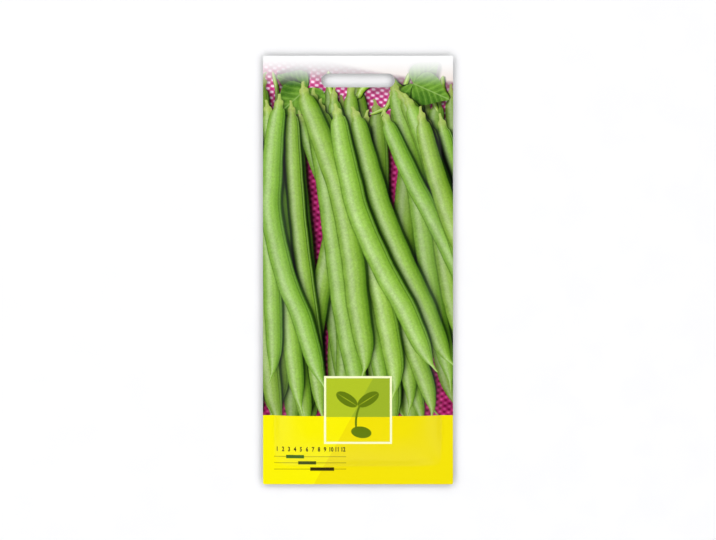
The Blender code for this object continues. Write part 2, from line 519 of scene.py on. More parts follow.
def slot_rim(x, y):
    """Distance to the slot's rim, negative inside it, and the nearest place on the rim: a
    point's way from the slot's middle line, made as long as the slot's half width."""
    near_x = np.clip(x, -SLOT_REACH, SLOT_REACH)
    away_x, away_y = x - near_x, y - SLOT_Y
    far = np.maximum(np.hypot(away_x, away_y), TINY)
    grow = SLOT_WIDTH / 2 / far
    return far - SLOT_WIDTH / 2, near_x + away_x * grow, SLOT_Y + away_y * grow


def round_corners(x, y):
    """Points beyond a corner's arc are drawn straight back onto it."""
    inner_x = np.clip(x, CORNER_RADIUS - HALF_WIDTH, HALF_WIDTH - CORNER_RADIUS)
    inner_y = np.clip(y, CORNER_RADIUS - HALF_HEIGHT, HALF_HEIGHT - CORNER_RADIUS)
    far = np.maximum(np.hypot(x - inner_x, y - inner_y), TINY)
    pull = np.minimum(CORNER_RADIUS / far, 1)
    return inner_x + (x - inner_x) * pull, inner_y + (y - inner_y) * pull


def sheet_grid():
    """Plan of a sheet: its points, and its squares as four point numbers, anticlockwise."""
    columns = round(2 * HALF_WIDTH / ACROSS_STEP) + 1
    rows = round(2 * HALF_HEIGHT / ALONG_STEP) + 1
    x, y = np.meshgrid(
        np.linspace(-HALF_WIDTH, HALF_WIDTH, columns),
        np.linspace(-HALF_HEIGHT, HALF_HEIGHT, rows),
    )
    number = np.arange(x.size).reshape(x.shape)
    corners = [number[:-1, :-1], number[:-1, 1:], number[1:, 1:], number[1:, :-1]]
    squares = np.stack(corners, axis=-1).reshape(-1, 4)
    x, y = round_corners(x.ravel(), y.ravel())
    outside = slot_rim(x[squares].mean(axis=1), y[squares].mean(axis=1))[0] > 0
    kept, cut = squares[outside], squares[~outside]
    ragged = np.intersect1d(kept, cut)
    x[ragged], y[ragged] = slot_rim(x[ragged], y[ragged])[1:]
    used, renumbered = np.unique(kept, return_inverse=True)
    return x[used], y[used], renumbered.reshape(-1, 4)


def worked_out(piece):
    """The piece's mesh as its modifiers or its typeface leave it."""
    graph = bpy.context.evaluated_depsgraph_get()
    return bpy.data.meshes.new_from_object(piece.evaluated_get(graph))


def make_sheet(name, height_at, faces_up, finish, core):
    """A sheet with its outer face at that height, thickened inwards. The cut edge and the
    inner face show the laminate's white core."""
    x, y, squares = sheet_grid()
    points = np.stack([x, y, height_at(x, y)], axis=-1)
    mesh = bpy.data.meshes.new(name)
    mesh.from_pydata(points, [], squares if faces_up else squares[:, ::-1])
    mesh.materials.append(finish)
    mesh.materials.append(core)
    sheet = bpy.data.objects.new(name, mesh)
    bpy.context.scene.collection.objects.link(sheet)
    thicken = sheet.modifiers.new("thickness", "SOLIDIFY")
    thicken.thickness = SHEET_THICKNESS
    thicken.offset = -1.0
    thicken.use_even_offset = True
    thicken.material_offset = 1
    thicken.material_offset_rim = 1
    solid = worked_out(sheet)
    sheet.modifiers.clear()
    solid.name = name
    solid.shade_smooth()
    solid.set_sharp_from_angle(angle=SHARP_ANGLE)
    sheet.data = solid
    print(name, len(solid.polygons), "faces")
    return sheet


print("squares in a sheet:", len(sheet_grid()[2]))

# %% [markdown]
# ## The print's ground: woven cloth
#
# The picture on the front shows green pods on magenta cloth. The cloth is a plain weave, one
# thread over and one under. The product of two sines is bright and dark by turns just as the
# threads are, and slow noise adds the folds.

# %% Cloth
WEAVE_MM = (1.9, 1.3)  # half the way between two light dashes in a row, and from row to row
CLOTH_TURN = -7.0  # degrees
CLOTH_STOPS = [
    (0.0, ink(104, 6, 54)),
    (0.30, ink(166, 34, 98)),
    (0.66, ink(206, 72, 140)),
    (0.94, ink(250, 218, 238)),
]
CLOTH_LIT_FROM_MM = 30.0
CLOTH_LIT_TO_MM = 82.0


def cloth(x, y, patches):
    """Colour of the cloth: dark between the threads and light on them, in soft folds. Light
    from above makes its dashes nearly white towards the top."""
    across, along = motif_plan(x, y, (0, 0), CLOTH_TURN, *(size / math.pi for size in WEAVE_MM))
    thread = across.sine() * along.sine() * 0.5 + 0.5
    folds = patches.rise(0.35, 0.7)
    light = thread * 0.60 + y.rise(CLOTH_LIT_FROM_MM, CLOTH_LIT_TO_MM) * 0.40
    return light.ramp(CLOTH_STOPS).lit(folds * 0.5 + 0.68)


print("light dashes across the packet:", round(HALF_WIDTH / MM / WEAVE_MM[0]))

# %% [markdown]
# ## A pod
#
# A bean pod is a long, slightly bent tube with a cap and stalk at one end and a thin hooked
# beak at the other. To print one, the point being shaded is first turned into the pod's own
# coordinates: how far along it is, from beak to stalk, and how far across. A curve node then
# says how far the pod bends aside there and how wide it is. The rest is light: a ramp across
# the pod gives its rounded side, its seam and its dark edge.
#
# One node group holds all of this, and it is used once for each pod. It takes the picture so
# far, darkens it where the pod's shadow falls, and lays the pod over it.

# %% The pod's curves, colours and shading
# Each curve runs from the beak's tip at 0 to the stalk's end at 1, in half widths.
POD_BEND = [(0.0, 0.0), (0.25, 0.58), (0.5, 1.0), (0.75, 0.60), (1.0, 0.0)]
POD_HOOK = [(0.0, 1.0), (0.03, 0.46), (0.08, 0.10), (0.14, 0.0), (0.92, 0.0), (0.97, -0.12)]
POD_HOOK += [(1.0, -0.5)]
POD_BEAK = [(0.0, -0.6), (0.008, 0.08), (0.03, 0.14), (0.05, 0.32), (0.08, 0.60), (0.13, 0.85)]
POD_BODY = [(0.23, 0.97), (0.50, 1.0), (0.76, 0.97), (0.89, 0.86)]
POD_CAP = [(0.942, 0.66), (0.957, 0.44), (0.965, 0.46), (0.976, 0.27), (0.985, 0.18)]
POD_WIDTH = POD_BEAK + POD_BODY + POD_CAP + [(0.996, 0.15), (1.0, -0.6)]
POD_STALK = [(0.0, 0.5), (0.06, 0.0), (0.925, 0.0), (0.966, 0.8), (1.0, 1.0)]  # paler ends
POD_COLOURS = [  # from the lit edge to the shaded one
    (0.0, ink(84, 124, 34)),
    (0.10, ink(132, 172, 66)),
    (0.34, ink(179, 208, 133)),
    (0.55, ink(156, 196, 88)),
    (0.76, ink(124, 169, 50)),
    (0.91, ink(88, 134, 28)),
    (1.0, ink(46, 80, 12)),
]
SEAM_COLOUR = ink(50, 84, 22)
LIP_COLOUR = ink(158, 192, 104)
STALK_COLOUR = ink(190, 204, 110)
POD_EDGE = 16.0  # sharpness of a printed edge, in steps to a half width
POD_SWELLS = 9  # seeds that show through
SHADOW_TINT = ink(40, 72, 8)
SHADOW_REACH = 1.52  # half widths from the shadow's middle to its end
SHADOW_ASIDE = 0.29  # how far it is thrown to the right
SHADOW_SLOPE = 1.5  # how fast it deepens towards the pod
SHADOW_DEPTH = 0.97
SEAM_PLACE = 0.85  # from 0 at the lit edge to 1 at the shaded one
SEAM_SHARPNESS = 34
LIP_PLACE = 0.905  # the light edge beside the seam
LIP_SHARPNESS = 26
print("points of the pod's outline:", len(POD_WIDTH))

# %% The pod's group
AXIS_NAMES = ("Across x", "Across y", "Across shift", "Along x", "Along y", "Along shift")


def new_group(name, numbers):
    """An empty node group that takes a picture, the point, its coarse and fine noise, a
    motif's six axis numbers and more numbers, and gives back a picture."""
    tree = bpy.data.node_groups.new(name, "ShaderNodeTree")
    tree.interface.new_socket("Picture", in_out="INPUT", socket_type="NodeSocketColor")
    for label in ("X", "Y", "Patches", "Grain", *AXIS_NAMES, *numbers):
        tree.interface.new_socket(label, in_out="INPUT", socket_type="NodeSocketFloat")
    tree.interface.new_socket("Picture", in_out="OUTPUT", socket_type="NodeSocketColor")
    start = Wire(tree).node("NodeGroupInput")
    a, b, c, d, e, f = (start.out(label) for label in AXIS_NAMES)
    x, y = start.out("X"), start.out("Y")
    return tree, start, x * a + y * b + c, x * d + y * e + f


def print_motif(tree, picture, point, axes, numbers):
    """Lays one motif over the picture."""
    x, y, patches, grain = point
    values = {"Picture": picture, "X": x, "Y": y, "Patches": patches, "Grain": grain}
    values.update(zip(AXIS_NAMES, (*axes[0], *axes[1])))
    return picture.node("ShaderNodeGroup", {"node_tree": tree}, {**values, **numbers})


def pod_group():
    """Formula: across' = across - bend(along) - hook(along) - sway sin(2π along), and the pod
    is where |across'| < width(along). Its colour is a ramp over across' / width."""
    settings = ("Bend", "Hook", "Sway", "Seam", "Hue", "Tone")
    tree, start, across, along = new_group("printed_pod", settings)
    swells = (along * (2 * math.pi * POD_SWELLS)).sine()
    width = along.curve(POD_WIDTH) + swells * 0.012
    aside = along.curve(POD_BEND) * start.out("Bend") + along.curve(POD_HOOK) * start.out("Hook")
    across = across - aside - (along * (2 * math.pi)).sine() * start.out("Sway")
    near = ((width * SHADOW_REACH - abs(across - SHADOW_ASIDE)) * SHADOW_SLOPE).clip()
    picture = start.mix(SHADOW_TINT, near * near * SHADOW_DEPTH, "MULTIPLY")
    mask = ((width - abs(across)) * POD_EDGE).clip()
    patches, grain = start.out("Patches"), start.out("Grain")
    side = across / width * 0.5 + 0.5
    skin = (side + (patches - 0.5) * 0.12).ramp(POD_COLOURS)
    seam = (1 - abs(side - SEAM_PLACE) * SEAM_SHARPNESS).clip() * start.out("Seam")
    lip = (1 - abs(side - LIP_PLACE) * LIP_SHARPNESS).clip() * start.out("Seam")
    skin = skin.mix(SEAM_COLOUR, seam).mix(LIP_COLOUR, lip * 0.7)
    skin = skin.mix(STALK_COLOUR, along.curve(POD_STALK) * 0.7)
    mottle = patches * 0.42 + grain * 0.76 + 0.408 + swells * 0.015
    skin = skin.lit(start.out("Tone") * mottle, start.out("Hue"))
    picture = picture.mix(skin, mask)
    picture.node("NodeGroupOutput", values={0: picture})
    return tree


pod_tree = pod_group()
print("pod group", len(pod_tree.nodes), "nodes")

# %% [markdown]
# ## Where the pods hang
#
# The pods fan out downwards in layers, and all lean a little. Those at the back are in the
# shade of the others. Those in front are fewer and brightest. Each layer spaces its pods
# evenly, and a seeded draw then shifts, bends and shades each.

# %% The fan of pods
POD_DRAW = 11
POD_HALF_WIDTH_MM = 4.8
POD_LAYERS = [
    # pods, spread of the tips, spread of the stalks, lean, height of tips, of stalks, tone
    (17, 62.0, 58.0, 6.0, -70.0, 79.0, 0.63),
    (5, 50.0, -14.0, 15.0, -62.0, 75.0, 0.77),
    (13, 74.0, 52.0, 12.0, -63.0, 76.0, 0.865),
    (11, 76.0, 48.0, 16.0, -56.0, 74.0, 0.985),
]
TIP_SHIFT_MM = 13.0
STALK_SHIFT_MM = 8.0
SEAMLESS = 0.45  # share of the pods that lie with their seam hidden


def pods_in_layer(draw, count, tips, stalks, lean, tip_height, stalk_height, tone):
    """Each pod's place, turn, size and bend. Its share s runs evenly from -1 to 1 across the
    layer: the tip is at s times the tips' spread, and the stalk at s times the stalks'."""
    order = draw.permutation(count)
    for s in (order + 0.5) / count * 2 - 1:
        tip_x = s * tips + lean + draw.uniform(-5, 5)
        stalk_x = s * stalks - lean + draw.uniform(-3, 3)
        tip_y = tip_height + draw.uniform(-TIP_SHIFT_MM, TIP_SHIFT_MM)
        stalk_y = stalk_height + draw.uniform(-STALK_SHIFT_MM, STALK_SHIFT_MM)
        tip = np.array([tip_x, tip_y])
        way = np.array([stalk_x, stalk_y]) - tip
        degrees = math.degrees(math.atan2(-way[0], way[1]))
        half_width = POD_HALF_WIDTH_MM * draw.uniform(0.82, 1.10)
        axes = motif_axes(tip, degrees, half_width, math.hypot(*way))
        yield axes, {
            "Bend": draw.uniform(-2.4, 1.2),
            "Hook": draw.uniform(-2.0, 2.0),
            "Sway": draw.uniform(-0.5, 0.5),
            "Seam": max(0.0, draw.uniform(-SEAMLESS, 1 - SEAMLESS)) * 1.5,
            "Hue": 0.5 + draw.uniform(-0.007, 0.006),
            "Tone": tone * draw.uniform(0.94, 1.06),
        }


def pod_layer(picture, point, draw, layer):
    """Lays a whole layer of pods over the picture, one after the other."""
    for axes, numbers in pods_in_layer(draw, *layer):
        picture = print_motif(pod_tree, picture, point, axes, numbers)
    return picture


print("pods:", sum(layer[0] for layer in POD_LAYERS))

# %% [markdown]
# ## Stalks and buds
#
# Behind the pods' upper ends lie the bits of the plant that they were picked with. They are
# the same group again, small and slim, at all angles. They have a seeded draw of their own,
# so a change to their number leaves the pods where they are.

# %% Stalks and buds
STALKS = 15
STALK_DRAW = 4
STALK_SPREAD_MM = 39.0
STALK_TOP_MM = 86.0
STALK_HUE = 0.485


def loose_stalks(picture, point):
    """Stalks and buds, evenly across the packet. Formula: half width = 0.4 + 9 / length, so
    the shorter one is, the thicker."""
    draw = np.random.default_rng(STALK_DRAW)
    for s in np.linspace(-1, 1, STALKS):
        length = draw.uniform(7, 20)
        foot_x = s * STALK_SPREAD_MM + draw.uniform(-3, 3)
        foot_y = STALK_TOP_MM - length + draw.uniform(-4, 1)
        axes = motif_axes((foot_x, foot_y), draw.uniform(-65, 65), 0.4 + 9 / length, length)
        bend, tone = draw.uniform(-1.5, 1.5), draw.uniform(0.9, 1.15)
        numbers = {"Bend": bend, "Hue": STALK_HUE, "Tone": tone}
        picture = print_motif(pod_tree, picture, point, axes, numbers)
    return picture


print("stalks and buds:", STALKS)

# %% [markdown]
# ## Leaves
#
# A bean leaf has three broad leaflets that end in a point. A leaflet is drawn as the pod
# was: a curve gives its width along the midrib. Its side veins run outwards and forwards in
# shallow arcs, and the blade bulges a little between them.

# %% The leaflet's group and the leaves
LEAF_WIDTH = [(0.0, -0.8), (0.01, 0.10), (0.06, 0.55), (0.16, 0.90), (0.30, 1.0)]
LEAF_WIDTH += [(0.46, 0.90), (0.64, 0.60), (0.80, 0.30), (0.92, 0.10), (1.0, -0.8)]
LEAF_DARK = ink(50, 100, 22)
LEAF_LIGHT = ink(132, 182, 64)
LEAF_VEIN = ink(158, 192, 106)
LEAF_EDGE = 24.0
LEAF_SLIMNESS = 0.42  # half width as a share of the length
LEAF_VEINS = 6.0
LEAVES = [
    # foot of the leaf's stalk, way it points in degrees, length of a leaflet, tone
    ((-22.0, 79.0), 222.0, 19.0, 0.92),
    ((24.0, 81.0), -24.0, 18.0, 0.98),
]
LEAFLETS = [(-64.0, 0.80), (64.0, 0.84), (0.0, 1.0)]  # turn from the leaf's way, share of length


def leaflet_group():
    """Formula: the leaflet is where |across| < width(along). Its veins are where the sine of
    the lines along - 0.46 |across| + 0.14 across² peaks, and it is lighter to the left."""
    tree, start, across, along = new_group("printed_leaflet", ("Tone",))
    patches, grain = start.out("Patches"), start.out("Grain")
    width = along.curve(LEAF_WIDTH) + (patches - 0.5) * 0.2
    reach = abs(across)
    shadow = (width + 0.36 - abs(across - 0.14)).rise(0.0, 0.36)
    picture = start.mix(SHADOW_TINT, shadow * 0.75, "MULTIPLY")
    mask = ((width - reach) * LEAF_EDGE).clip()
    lines = along - reach * 0.46 + reach * reach * 0.14
    wave = (lines * (2 * math.pi * LEAF_VEINS)).sine()
    lift = wave * 0.09 - across * 0.20 + patches * 1.1 + grain * 0.3 - 0.2
    blade = lift.ramp([(0.0, LEAF_DARK), (1.0, LEAF_LIGHT)])
    vein = wave.rise(0.90, 1.0) * (1 - reach * 0.8).clip() * 0.30
    midrib = 1 - reach.rise(0.015, 0.05)
    blade = blade.mix(LEAF_VEIN, vein).mix(LEAF_VEIN, midrib * 0.6)
    picture = picture.mix(blade.lit(start.out("Tone")), mask)
    picture.node("NodeGroupOutput", values={0: picture})
    return tree


leaflet_tree = leaflet_group()


def leaves(picture, point):
    """Both leaves: two side leaflets each, and then the end one over them."""
    for foot, way, length, tone in LEAVES:
        for turn, share in LEAFLETS:
            size = length * share
            axes = motif_axes(foot, way + turn - 90, size * LEAF_SLIMNESS, size)
            picture = print_motif(leaflet_tree, picture, point, axes, {"Tone": tone})
    return picture


print("leaflet group", len(leaflet_tree.nodes), "nodes")

# %% [markdown]
# ## Rectangles and ovals
#
# The rest of the print is flat colour in plain shapes, as a printer's artist would draw it.
# Each shape is a mask: the distance past its edge, made 1 inside and 0 outside. An oval can
# be turned and narrow, and with that one shape a leaf, a stalk, a seed and a pod are drawn.

# %% Plain shapes
EDGE_SOFT_MM = 0.12  # how soft a printed edge is, to both sides
EDGE_SHARP_MM = 0.05


def below(value, level, soft=EDGE_SHARP_MM):
    """1 where the value is below that level, 0 where it is above."""
    return 1 - value.rise(level - soft, level + soft)


def rectangle(x, y, middle, half_x, half_y):
    """1 inside a rectangle. Formula: the greater of the two distances past its sides."""
    past_x = abs(x - middle[0]) - half_x
    past_y = abs(y - middle[1]) - half_y
    return below(x.math("MAXIMUM", past_x, past_y), 0.0, EDGE_SOFT_MM)


def oval(x, y, middle, half_x, half_y, degrees, edge=EDGE_SOFT_MM):
    """1 inside an oval. Formula: the root of the sum of the squares of the point's own two
    coordinates, each in half widths."""
    across, along = motif_plan(x, y, middle, degrees, half_x, half_y)
    far = x.math("SQRT", across * across + along * along)
    return below(far, 1.0, edge / min(half_x, half_y))


def card(x, y, middle, half_x, half_y, radius):
    """1 inside a rectangle with round corners. Formula: how far a point is outside the
    rectangle of the corners' centres, less the corners' radius."""
    past_x = x.math("MAXIMUM", abs(x - middle[0]) - (half_x - radius), 0.0)
    past_y = x.math("MAXIMUM", abs(y - middle[1]) - (half_y - radius), 0.0)
    far = x.math("SQRT", past_x * past_x + past_y * past_y)
    return below(far, radius, EDGE_SOFT_MM)


print("edges are soft over", 2 * EDGE_SOFT_MM, "mm")

# %% [markdown]
# ## The label: band and emblem
#
# Below the picture the packet has a plain yellow band. A small framed square stands half on
# it and holds a sprouting bean.

# %% Band and emblem
BAND_MM = 30.0
BAND_TOP_MM = BAND_MM - HALF_HEIGHT / MM
BAND_LEFT = ink(247, 238, 2)
BAND_RIGHT = ink(239, 222, 6)
EMBLEM_MIDDLE_MM = (0.0, 32.6 - HALF_HEIGHT / MM)
EMBLEM_HALF_MM = 14.65
FRAME_MM = 0.9
EMBLEM_LEFT = ink(176, 195, 38)
EMBLEM_RIGHT = ink(155, 178, 40)
EMBLEM_GROUND_MM = -3.0  # top of the yellow ground, from the emblem's middle
TONE_SLOPE = 0.555
TONE_FOOT_MM = -19.2  # where the change of tone meets the lower edge
TONE_SOFT_MM = 0.4
FRAME_COLOUR = ink(250, 252, 205)
MOTIF_COLOUR = ink(98, 122, 14)


def sprout(picture, x, y, middle, size, seed_colour):
    """A bean that has come up: a seed, a bent stalk and two seed leaves with light midribs.
    The numbers are millimetres from its middle, in the emblem."""

    def part(dx, dy, half_x, half_y, degrees):
        place = (middle[0] + dx * size, middle[1] + dy * size)
        return oval(x, y, place, half_x * size, half_y * size, degrees)

    picture = picture.mix(seed_colour, part(1.4, -9.6, 4.4, 2.5, -8))
    stalk = part(1.4, -3.4, 2.6, 6.9, -8) - part(2.3, -3.6, 2.6, 7.2, -8)
    picture = picture.mix(MOTIF_COLOUR, stalk.clip())
    for side in (-1, 1):
        leaf = part(side * 4.6 - 0.2, 4.6, 2.5, 5.2, -side * 58)
        midrib = part(side * 4.3 - 0.2, 4.4, 0.16, 4.0, -side * 58)
        picture = picture.mix(MOTIF_COLOUR, leaf).mix(EMBLEM_LEFT, midrib * 0.8)
    return picture


def label(picture, x, y):
    """The band, then the emblem over it. Both are a tone darker beyond one slanting line."""
    band = below(y, BAND_TOP_MM)
    beyond = x - (y + HALF_HEIGHT / MM) * TONE_SLOPE - TONE_FOOT_MM
    tone = beyond.rise(-TONE_SOFT_MM, TONE_SOFT_MM)
    yellow = tone.ramp([(0.0, BAND_LEFT), (1.0, BAND_RIGHT)])
    picture = picture.mix(yellow, band)
    outer = rectangle(x, y, EMBLEM_MIDDLE_MM, EMBLEM_HALF_MM, EMBLEM_HALF_MM)
    picture = picture.mix(FRAME_COLOUR, outer)
    inner_half = EMBLEM_HALF_MM - FRAME_MM
    inner = rectangle(x, y, EMBLEM_MIDDLE_MM, inner_half, inner_half)
    lime = tone.ramp([(0.0, EMBLEM_LEFT), (1.0, EMBLEM_RIGHT)])
    ground = below(y, EMBLEM_MIDDLE_MM[1] + EMBLEM_GROUND_MM, EDGE_SOFT_MM)
    picture = picture.mix(lime, inner).mix(yellow, inner * ground)
    return sprout(picture, x, y, EMBLEM_MIDDLE_MM, 1.0, MOTIF_COLOUR)


print(f"emblem {2 * EMBLEM_HALF_MM:.1f} mm square")

# %% [markdown]
# ## The sowing calendar
#
# At the lower left is a row of months by number, with a bar each for the months to sow under
# glass, to sow outside and to pick. The bars are printed here. The numbers come later, because
# a typeface is easier to use as a mesh.

# %% Calendar bars
CALENDAR_LEFT_MM = 4.9 - HALF_WIDTH / MM
CALENDAR_TOP_MM = 15.4 - HALF_HEIGHT / MM
MONTHS = 12
MONTH_MM = 2.6
BAR_ROWS = [
    # first and last month, how far below the numbers, colour
    (3, 5, 3.2, ink(62, 104, 18)),
    (5, 7, 6.0, ink(66, 80, 10)),
    (7, 10, 8.8, ink(52, 44, 12)),
]
BAR_HALF_MM = 0.75
RULE_COLOUR = ink(96, 88, 16)
RULE_HALF_MM = 0.12


def calendar(picture, x, y):
    """Three bars on thin rules. A bar spans its months; a rule spans the year."""
    year = MONTHS * MONTH_MM
    for first, last, down, colour in BAR_ROWS:
        level = CALENDAR_TOP_MM - down
        rule = rectangle(x, y, (CALENDAR_LEFT_MM + year / 2, level), year / 2, RULE_HALF_MM)
        start, end = (first - 1) * MONTH_MM, last * MONTH_MM
        middle = (CALENDAR_LEFT_MM + (start + end) / 2, level)
        bar = rectangle(x, y, middle, (end - start) / 2, BAR_HALF_MM)
        picture = picture.mix(RULE_COLOUR, rule * 0.8).mix(colour, bar)
    return picture


print("bars:", len(BAR_ROWS))

# %% [markdown]
# ## The front's finish
#
# The print is laid down from the back: cloth, a bowl out of focus, the pods with the stalks
# and leaves between them, the fade to white at the header, then the label. The laminate over
# it is satin, and not perfectly even, so its roughness and a very fine bump follow noise.

# %% Front print
FADE_FROM_MM = 79.5
FADE_TO_MM = 92.0
PAPER_WHITE = ink(250, 250, 250)
FILM_ROUGHNESS = 0.34
FILM_SPECULAR = 0.14
FILM_BUMP = 0.12
FILM_BUMP_DEPTH = 0.06 * MM
BOWL_COLOUR = ink(236, 222, 214)
BOWL_SHADE = ink(120, 96, 100)
BOWL_MIDDLE_MM = (24.0, 99.0)
BOWL_TURN = -8.0  # degrees
PATCHES_NOISE = (0.16, 5.0, 0.7)  # scale, detail and roughness
GRAIN_NOISE = (1.1, 3.0, 0.75)


def satin(shader, here, picture):
    """Links a print to the shader under a satin film, and gives the film its unevenness."""
    rough = here.noise(0.11, 3.0) * 0.16 + (FILM_ROUGHNESS - 0.08)
    grain = here.noise(1.6, 2.0) * 0.6 + here.noise(0.5, 1.0)
    feed(shader, {"Base Color": picture, "Roughness": rough, "Specular IOR Level": FILM_SPECULAR})
    feed(shader, {"Normal": grain.bump(FILM_BUMP, FILM_BUMP_DEPTH)})


def bowl(picture, x, y):
    """A pale bowl's rim, out of focus, with its shadow on the cloth."""
    shade = oval(x, y, BOWL_MIDDLE_MM, 72.0, 23.0, BOWL_TURN, 4.0)
    rim = oval(x, y, BOWL_MIDDLE_MM, 66.0, 15.5, BOWL_TURN, 1.0)
    return picture.mix(BOWL_SHADE, shade * 0.75).mix(BOWL_COLOUR, rim)


def front_finish():
    """The whole front print, laid down layer by layer."""
    material, shader, start = new_finish("printed_front_laminate")
    here = object_place(start)
    x, y = plan(here)
    patches, grain = here.noise(*PATCHES_NOISE), here.noise(*GRAIN_NOISE)
    point = (x, y, patches, grain)
    draw = np.random.default_rng(POD_DRAW)
    picture = bowl(cloth(x, y, patches), x, y)
    picture = loose_stalks(pod_layer(picture, point, draw, POD_LAYERS[0]), point)
    picture = leaves(picture, point)
    for layer in POD_LAYERS[1:]:
        picture = pod_layer(picture, point, draw, layer)
    picture = picture.mix(PAPER_WHITE, y.rise(FADE_FROM_MM, FADE_TO_MM))
    picture = calendar(label(picture, x, y), x, y)
    satin(shader, here, picture)
    return material


front_print = front_finish()
print("front print", len(front_print.node_tree.nodes), "nodes")

# %% [markdown]
# ## The laminate's core
#
# Where the laminate is cut, its paper core shows as a thin pale line. Paper is matt, and its
# fibres are a very fine noise.

# %% Core
CORE_DARK = ink(196, 190, 184)
CORE_LIGHT = ink(216, 212, 206)


def core_finish():
    """Uncoated paper: matt, with faint fibres."""
    material, shader, start = new_finish("white_laminate_core")
    fibres = object_place(start).noise(2.5, 3.0)
    tint = fibres.ramp([(0.3, CORE_DARK), (0.7, CORE_LIGHT)])
    feed(shader, {"Base Color": tint, "Roughness": 0.85, "Specular IOR Level": 0.2})
    return material


laminate_core = core_finish()
print("core:", laminate_core.name)

# %% [markdown]
# ## Growing, in four tiles
#
# The back says how to grow the beans without a word. Its first row has four small pictures:
# the seed, the sprout, the plant and the ripe pods. All are made of the same ovals.

# %% Growth tiles
TILES = 4
TILE_HALF_MM = 7.1
TILE_STEP_MM = 15.3
TILES_Y_MM = 46.0
TILE_RADIUS_MM = 1.2
TILE_SOIL_MM = 1.6  # how far the soil's top is below a tile's middle
SOIL_COLOUR = ink(122, 84, 48)
SEED_COLOUR = ink(246, 240, 190)


def growth_tiles(picture, x, y):
    """Four small cards: a seed in the soil, a sprout, a plant and ripe pods."""
    for step in range(TILES):
        middle = ((step - (TILES - 1) / 2) * TILE_STEP_MM, TILES_Y_MM)
        tile = card(x, y, middle, TILE_HALF_MM, TILE_HALF_MM, TILE_RADIUS_MM)
        picture = picture.mix(EMBLEM_LEFT, tile)
        left, level = middle
        if step < 3:
            picture = picture.mix(SOIL_COLOUR, below(y, level - TILE_SOIL_MM) * tile)
        if step == 0:
            picture = picture.mix(SEED_COLOUR, oval(x, y, (left, level - 4.4), 2.4, 1.4, -8))
        if step in (1, 2):
            place = (left - 0.3, level + 0.2)
            picture = sprout(picture, x, y, place, 0.44 + 0.06 * step, SEED_COLOUR)
        if step == 2:
            for side in (-1, 1):
                leaf = oval(x, y, (left + side * 3.0, level - 0.2), 1.1, 2.6, -side * 70)
                picture = picture.mix(MOTIF_COLOUR, leaf)
        if step == 3:
            for turn in (-16, 4, 24):
                pod = oval(x, y, (left + turn * 0.13, level - abs(turn) * 0.02), 1.0, 5.8, turn)
                picture = picture.mix(MOTIF_COLOUR, pod)
    return picture


print("tiles:", TILES)

# %% [markdown]
# ## The back's calendar
#
# Under the tiles is a larger calendar. Every second month is tinted, so that the eye can
# follow a column, and the bars say when to sow outside, when the beans flower and when to
# pick them.

# %% Month grid
GRID_LEFT_MM = -30.0
GRID_TOP_MM = 31.0
GRID_MONTH_MM = 5.0
GRID_ROW_MM = 5.4
GRID_ROWS = 4  # one for the numbers and three for the bars
GRID_COLOUR = ink(228, 232, 196)
GRID_BAR_HALF_MM = 1.5
DARK_BROWN = ink(74, 62, 24)
GRID_BARS = [
    # first and last month, row, colour
    (5, 7, 1, ink(112, 160, 40)),
    (6, 9, 2, ink(176, 36, 108)),
    (7, 10, 3, DARK_BROWN),
]


def month_grid(picture, x, y):
    """Twelve columns, tinted by turns, with a bar in each row across its months."""
    height = GRID_ROW_MM * GRID_ROWS
    for month in range(0, MONTHS, 2):
        middle = (GRID_LEFT_MM + (month + 0.5) * GRID_MONTH_MM, GRID_TOP_MM - height / 2)
        picture = picture.mix(GRID_COLOUR, rectangle(x, y, middle, GRID_MONTH_MM / 2, height / 2))
    for first, last, row, colour in GRID_BARS:
        start, end = (first - 1) * GRID_MONTH_MM, last * GRID_MONTH_MM
        middle = (GRID_LEFT_MM + (start + end) / 2, GRID_TOP_MM - (row + 0.5) * GRID_ROW_MM)
        picture = picture.mix(colour, card(x, y, middle, (end - start) / 2, GRID_BAR_HALF_MM, 0.8))
    return picture


print("month grid", MONTHS * GRID_MONTH_MM, "mm wide")

# %% [markdown]
# ## Sun and water
#
# Two signs say what the beans need. A sun's rays are a wave of the angle round its middle,
# cut to a ring. A drop is a circle with a triangle on it.

# %% Sun and drops
SUN_PLACE_MM = (-18.0, -8.0)
SUN_MM = 4.3  # radius of its disc
RAYS = 8
RAYS_FROM_MM = 5.4
RAYS_TO_MM = 7.7
SUN_SOFT_MM = 0.1
SUN_COLOUR = ink(240, 196, 20)
DROPS_X_MM = 18.0
DROP_STEP_MM = 6.5
DROP_MM = 2.2  # radius of its round part
DROP_COLOUR = ink(92, 158, 196)


def sun_and_drops(picture, x, y):
    """A sun and three drops of water. Formula: there is a ray where sin(rays * angle) is
    high, and a drop's top is where a point is nearer its middle line than 1 - height."""
    sun_x, level = SUN_PLACE_MM
    aside, above = x - sun_x, y - level
    far = x.math("SQRT", aside * aside + above * above)
    rays = (x.math("ARCTAN2", above, aside) * RAYS).sine().rise(0.1, 0.3)
    past_disc = far.rise(RAYS_FROM_MM - SUN_SOFT_MM, RAYS_FROM_MM + SUN_SOFT_MM)
    ring = past_disc * below(far, RAYS_TO_MM, SUN_SOFT_MM)
    picture = picture.mix(SUN_COLOUR, rays * ring)
    picture = picture.mix(SUN_COLOUR, below(far, SUN_MM, SUN_SOFT_MM))
    for drop in (-1, 0, 1):
        place = DROPS_X_MM + drop * DROP_STEP_MM
        round_part = oval(x, y, (place, level - 1.6), DROP_MM, DROP_MM, 0)
        share = (y - (level - 1.0)) / 5.6
        point = ((1 - share) * 2.1 - abs(x - place)).rise(0.0, 0.2) * share.rise(0.0, 0.02)
        picture = picture.mix(DROP_COLOUR, round_part).mix(DROP_COLOUR, point)
    return picture


print("sun", 2 * RAYS_TO_MM, "mm across")

